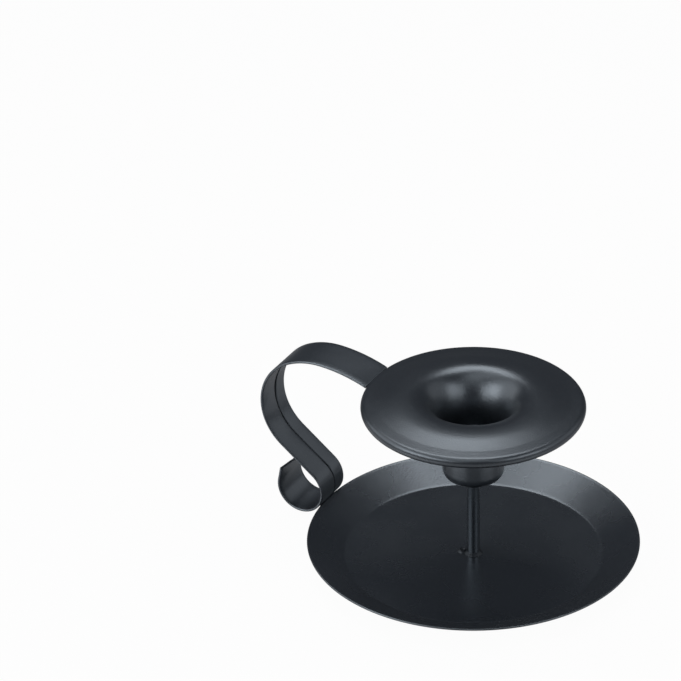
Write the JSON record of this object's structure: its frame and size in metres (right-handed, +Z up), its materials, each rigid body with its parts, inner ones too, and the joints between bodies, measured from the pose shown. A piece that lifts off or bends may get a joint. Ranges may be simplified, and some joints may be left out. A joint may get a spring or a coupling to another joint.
{
  "type": "chamberstick",
  "caption": "Black coated sheet-metal chamberstick: round drip pan, thin stem, candle cup under a flared drip disc, and a folded strap bent into a finger loop with a scrolled foot.",
  "frame": {"origin": "centre of the drip pan's flat underside, on the axis of the stem and cup", "axes": "+Z up along the stem and out of the cup's mouth; the finger loop reaches out towards -X"},
  "size_m": [0.1539, 0.129, 0.0724],
  "materials": {
    "black_coat": "satin black powder coat",
    "coated_weld": "satin black powder coat over a weld bead"
  },
  "bodies": {
    "root": {"drip_pan": "black_coat", "stem": "black_coat", "candle_cup": "black_coat", "drip_disc": "black_coat", "handle_strap": "black_coat", "stem_foot_weld": "coated_weld", "stem_head_weld": "coated_weld", "handle_rim_weld": "coated_weld", "handle_disc_weld": "coated_weld"}
  },
  "joints": []
}
